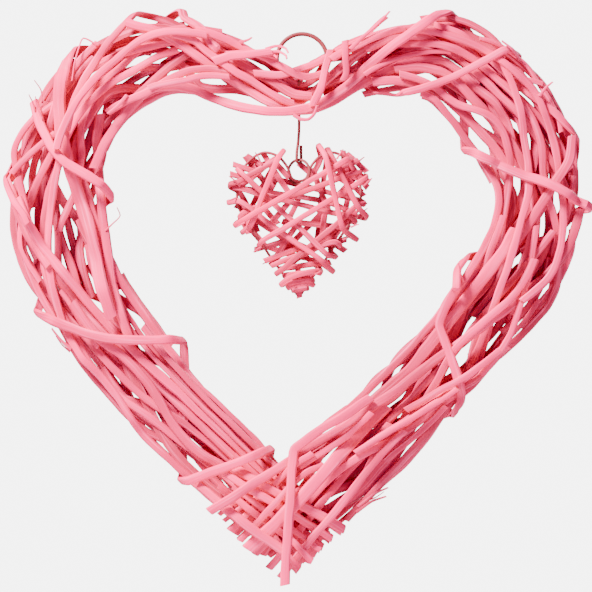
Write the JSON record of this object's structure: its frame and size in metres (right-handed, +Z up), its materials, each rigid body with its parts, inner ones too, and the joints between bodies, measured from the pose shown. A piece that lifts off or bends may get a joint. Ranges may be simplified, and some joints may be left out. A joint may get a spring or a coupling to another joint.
{
  "type": "heart wreath ornament",
  "caption": "Hanging heart of pink painted willow splits, woven into an open bundle, with a small wound heart hung on a wire in its window",
  "frame": {"origin": "inner top of the hanging ring, where a nail or hook carries the piece", "axes": "+Z up as it hangs, the front faces -Y, +X to the right as seen from the front"},
  "size_m": [0.3824, 0.0423, 0.3741],
  "materials": {
    "wreath_split": "matt pink paint over split willow",
    "binder_split": "matt pink paint over split willow",
    "small_heart_split": "matt pink paint over split willow",
    "hanging_ring_wire": "satin brownish rose paint",
    "hook_wire": "satin brownish rose paint",
    "small_heart_wire": "satin rose paint"
  },
  "bodies": {
    "root": {"back_split_1": "wreath_split", "back_split_2": "wreath_split", "back_split_3": "wreath_split", "back_split_4": "wreath_split", "back_split_5": "wreath_split", "back_split_6": "wreath_split", "back_split_7": "wreath_split", "back_split_8": "wreath_split", "dip_bent": "wreath_split", "dip_diagonal": "wreath_split", "dip_tie": "wreath_split", "dip_upper": "wreath_split", "hanging_ring": "hanging_ring_wire", "heart_winding_broad": "small_heart_split", "heart_winding_cross": "small_heart_split", "heart_winding_deep": "small_heart_split", "heart_winding_first": "small_heart_split", "heart_winding_left": "small_heart_split", "inner_sag": "wreath_split", "left_arm_binder": "binder_split", "left_arm_long_outer": "wreath_split", "left_arm_low_end": "wreath_split", "left_arm_middle": "wreath_split", "left_arm_outer_middle": "wreath_split", "left_arm_rising": "wreath_split", "left_arm_rising_wide": "wreath_split", "left_inner_long": "wreath_split", "left_lobe_binder": "binder_split", "left_lobe_broad": "wreath_split", "left_lobe_corner": "wreath_split", "left_lobe_cross_high": "wreath_split", "left_lobe_inner_cross": "wreath_split", "left_lobe_inner_sweep": "wreath_split", "left_lobe_inner_tail": "wreath_split", "link_ring": "hook_wire", "pendant_hook": "hook_wire", "right_arm_binder": "binder_split", "right_arm_broad": "wreath_split", "right_arm_high_outer": "wreath_split", "right_arm_long_slant": "wreath_split", "right_arm_low_outer": "wreath_split", "right_arm_middle": "wreath_split", "right_arm_slant": "wreath_split", "right_arm_tip_broad": "wreath_split", "right_inner_long": "wreath_split", "right_lobe_arch": "wreath_split", "right_lobe_binder": "binder_split", "right_lobe_corner": "wreath_split", "right_lobe_low_sweep": "wreath_split", "right_lobe_middle": "wreath_split", "right_long_wave": "wreath_split", "right_side_binder": "binder_split", "right_side_falling": "wreath_split", "right_side_hump": "wreath_split", "small_heart_wire": "small_heart_wire", "threaded_split": "wreath_split", "tip_binder": "binder_split", "tip_end_middle": "wreath_split", "tip_end_wide": "wreath_split", "tip_upright": "wreath_split"}
  },
  "joints": []
}
